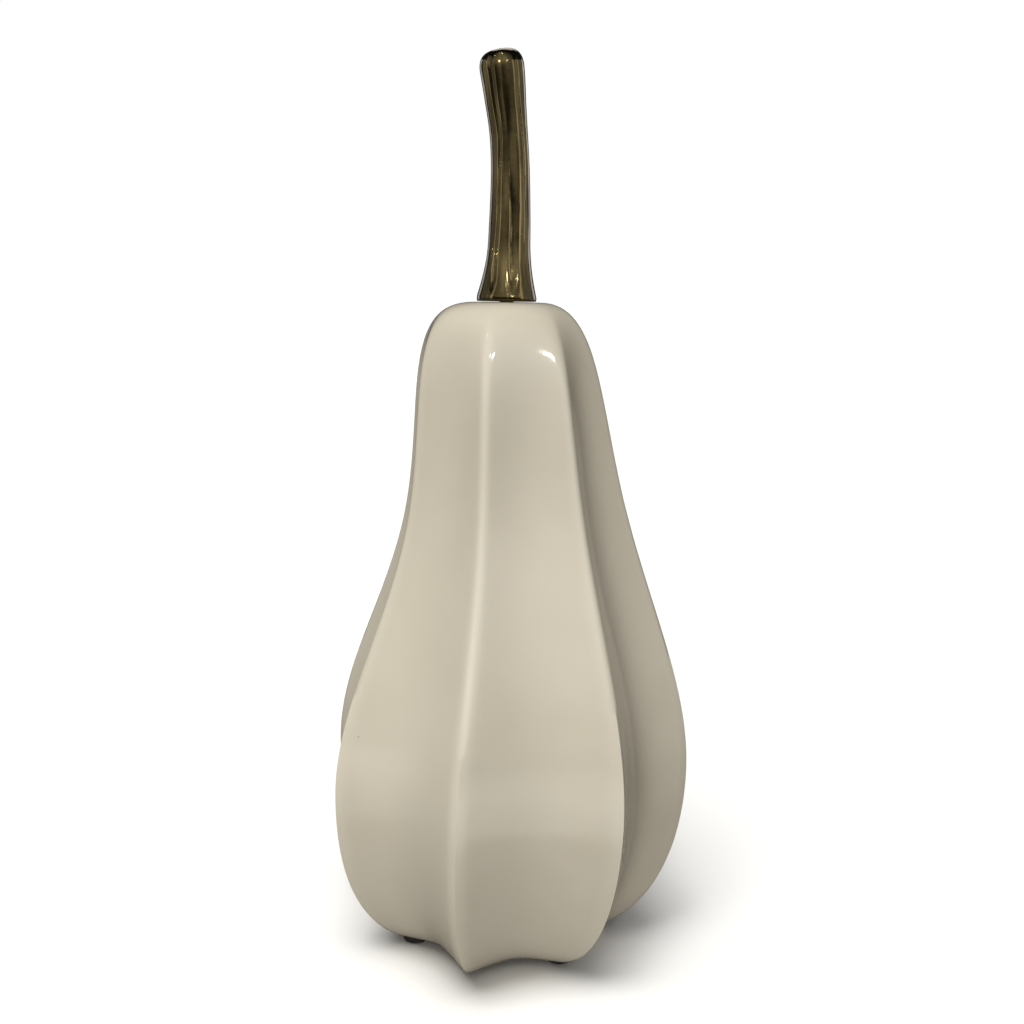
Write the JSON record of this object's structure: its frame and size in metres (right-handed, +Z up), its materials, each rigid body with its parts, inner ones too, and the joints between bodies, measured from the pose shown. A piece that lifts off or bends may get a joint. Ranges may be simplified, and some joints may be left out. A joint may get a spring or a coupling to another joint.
{
  "type": "decorative ceramic pumpkin figure",
  "caption": "Tall pear-shaped ceramic gourd ornament with soft ridges, concave flutes and a slim bent metal stem, standing on small pads.",
  "frame": {"origin": "on the surface it stands on, under the centre of the figure's outline", "axes": "+Z up along the body and stem, -Y towards the front ridge, +X to the right of that ridge as seen from the front"},
  "size_m": [0.1656, 0.1656, 0.3881],
  "materials": {
    "ivory_glaze": "high gloss clear glaze over warm ivory",
    "dark_gold_plating": "polished dark antique gold",
    "black_rubber": "matte",
    "zinc_plated_steel": "bright zinc",
    "pad_rubber": "matte"
  },
  "bodies": {
    "root": {"ceramic_body": "ivory_glaze", "stem": "dark_gold_plating", "stem_gasket": "black_rubber", "stem_stud": "zinc_plated_steel", "cushion_washer": "black_rubber", "steel_washer": "zinc_plated_steel", "spring_washer": "zinc_plated_steel", "hex_nut": "zinc_plated_steel", "foot_pad_front_right": "pad_rubber", "foot_pad_back_right": "pad_rubber", "foot_pad_back_left": "pad_rubber", "foot_pad_front_left": "pad_rubber"}
  },
  "joints": []
}
